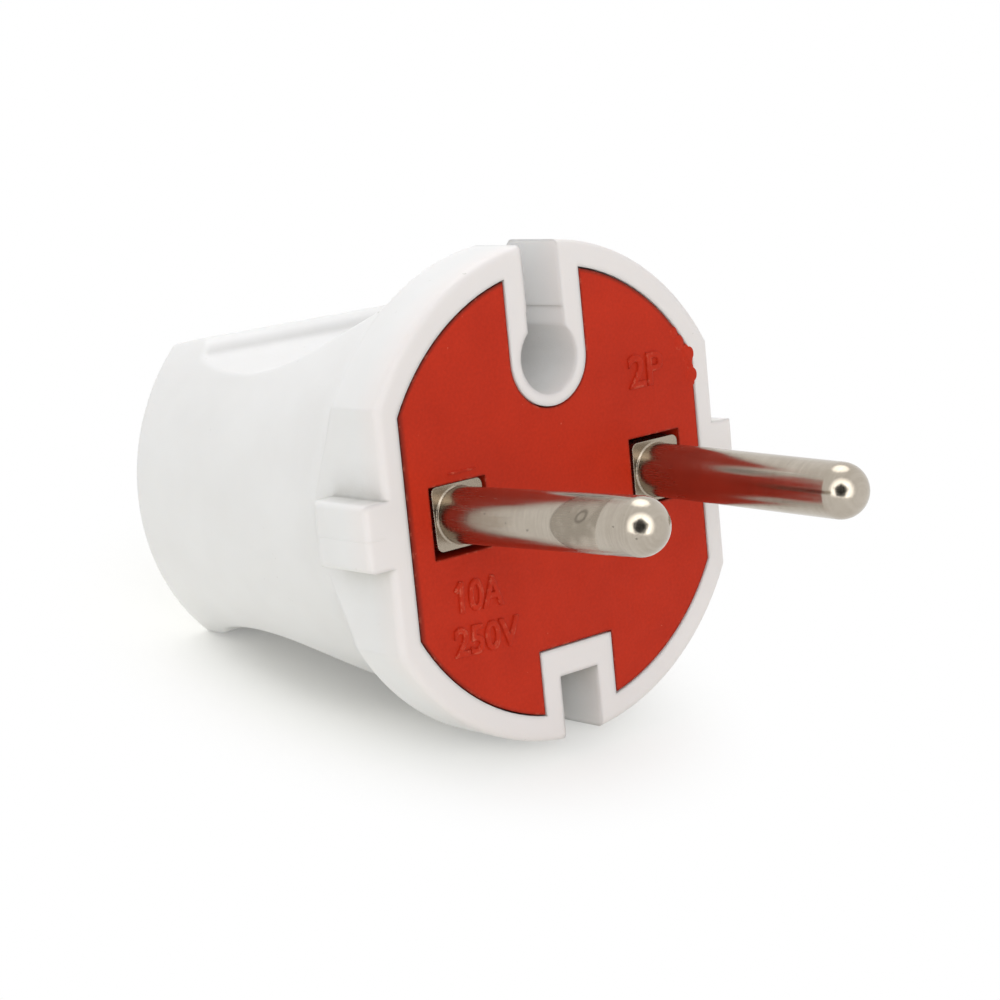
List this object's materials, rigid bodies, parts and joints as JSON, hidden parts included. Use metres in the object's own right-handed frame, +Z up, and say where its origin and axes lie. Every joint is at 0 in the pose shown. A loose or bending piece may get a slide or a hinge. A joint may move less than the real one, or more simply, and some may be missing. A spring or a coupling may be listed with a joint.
{
  "type": "ungrounded plug",
  "caption": "Round mains plug without earth contact: round pins in a moulded insert, keyhole and notch in its flange, finger scoops on its body.",
  "frame": {"origin": "middle of the plug's footprint on the table it rests on, at table height", "axes": "+Z up, +X to the right seen from the pins, +Y from the pins to the cord inlet; the plug leans back about 14 degrees on its flange and rear edge"},
  "size_m": [0.0354, 0.053, 0.0359],
  "materials": {
    "white_plastic": "satin moulded, warm white",
    "red_plastic": "satin moulded, brick red",
    "nickel_plate": "bright nickel plate on brass",
    "zinc_steel": "bright zinc plate"
  },
  "bodies": {
    "root": {"housing": "white_plastic", "pin_carrier": "red_plastic", "left_pin": "nickel_plate", "right_pin": "nickel_plate", "left_terminal_screw": "zinc_steel", "right_terminal_screw": "zinc_steel", "cord_clamp": "red_plastic", "left_clamp_screw": "zinc_steel", "right_clamp_screw": "zinc_steel"}
  },
  "joints": []
}
